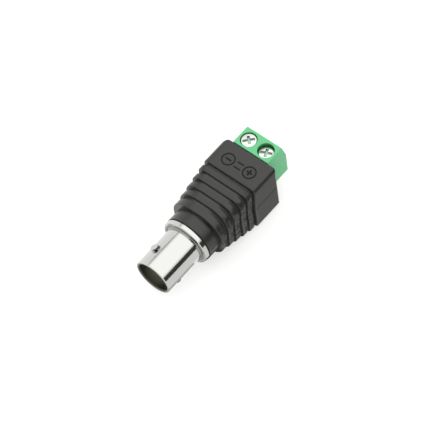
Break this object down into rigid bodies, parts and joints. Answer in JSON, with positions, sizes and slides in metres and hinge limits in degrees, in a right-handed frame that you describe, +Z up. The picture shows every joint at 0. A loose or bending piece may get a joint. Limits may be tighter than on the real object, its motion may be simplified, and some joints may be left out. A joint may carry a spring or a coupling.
{
  "type": "bnc screw terminal adapter",
  "caption": "Adapter with a nickelled bayonet coaxial socket in a ribbed black housing and a green terminal block with captive clamp screws for bare wires.",
  "frame": {"origin": "centre of the socket's mouth, on the socket's axis", "axes": "-Y points out of the socket's mouth, +Y runs to the terminal block, +Z points up to the clamp screws, +X points right"},
  "size_m": [0.0152, 0.0421, 0.0151],
  "materials": {
    "nickel_plate": "polished nickel plate on brass",
    "white_insulator": "moulded, satin",
    "gilt_contact": "gilt",
    "tinned_brass": "tin plate, satin",
    "black_housing": "moulded, slightly glossy",
    "green_housing": "moulded, semi-gloss",
    "plated_steel": "bright zinc plate",
    "red_insulation": "extruded",
    "black_insulation": "extruded",
    "solder": "bright"
  },
  "bodies": {
    "adapter": {"jack_shell": "nickel_plate", "jack_insulator": "white_insulator", "jack_contact": "gilt_contact", "jack_rear_bush": "white_insulator", "ground_tag": "tinned_brass", "housing_bottom": "black_housing", "housing_top": "black_housing", "terminal_block": "green_housing", "clamp_frame_neg": "tinned_brass", "clamp_frame_pos": "tinned_brass", "signal_wire": "red_insulation", "ground_wire": "black_insulation", "solder_signal_jack": "solder", "solder_ground_jack": "solder", "solder_signal_block": "solder", "solder_ground_block": "solder"},
    "plate_neg": {"pressure_plate_neg": "plated_steel"},
    "plate_pos": {"pressure_plate_pos": "plated_steel"},
    "screw_neg": {"clamp_screw_neg": "plated_steel"},
    "screw_pos": {"clamp_screw_pos": "plated_steel"}
  },
  "joints": [
    {"name": "clamp_neg_lift", "type": "slide", "parent": "adapter", "child": "plate_neg", "axis": [0, 0, 1], "range_m": [-0.0025, 0]},
    {"name": "clamp_neg_turn", "type": "hinge", "parent": "plate_neg", "child": "screw_neg", "pos_m": [-0.00254, 0.03837, 0.0065], "axis": [0, 0, 1], "range_deg": [-1800, 0]},
    {"name": "clamp_pos_lift", "type": "slide", "parent": "adapter", "child": "plate_pos", "axis": [0, 0, 1], "range_m": [-0.0017, 0.0008]},
    {"name": "clamp_pos_turn", "type": "hinge", "parent": "plate_pos", "child": "screw_pos", "pos_m": [0.00254, 0.03837, 0.0065], "axis": [0, 0, 1], "range_deg": [-1224, 576]}
  ],
  "couplings": [
    {"joint": "clamp_neg_turn", "follows": "clamp_neg_lift", "rad_per_m": 12566},
    {"joint": "clamp_pos_turn", "follows": "clamp_pos_lift", "rad_per_m": 12566}
  ]
}
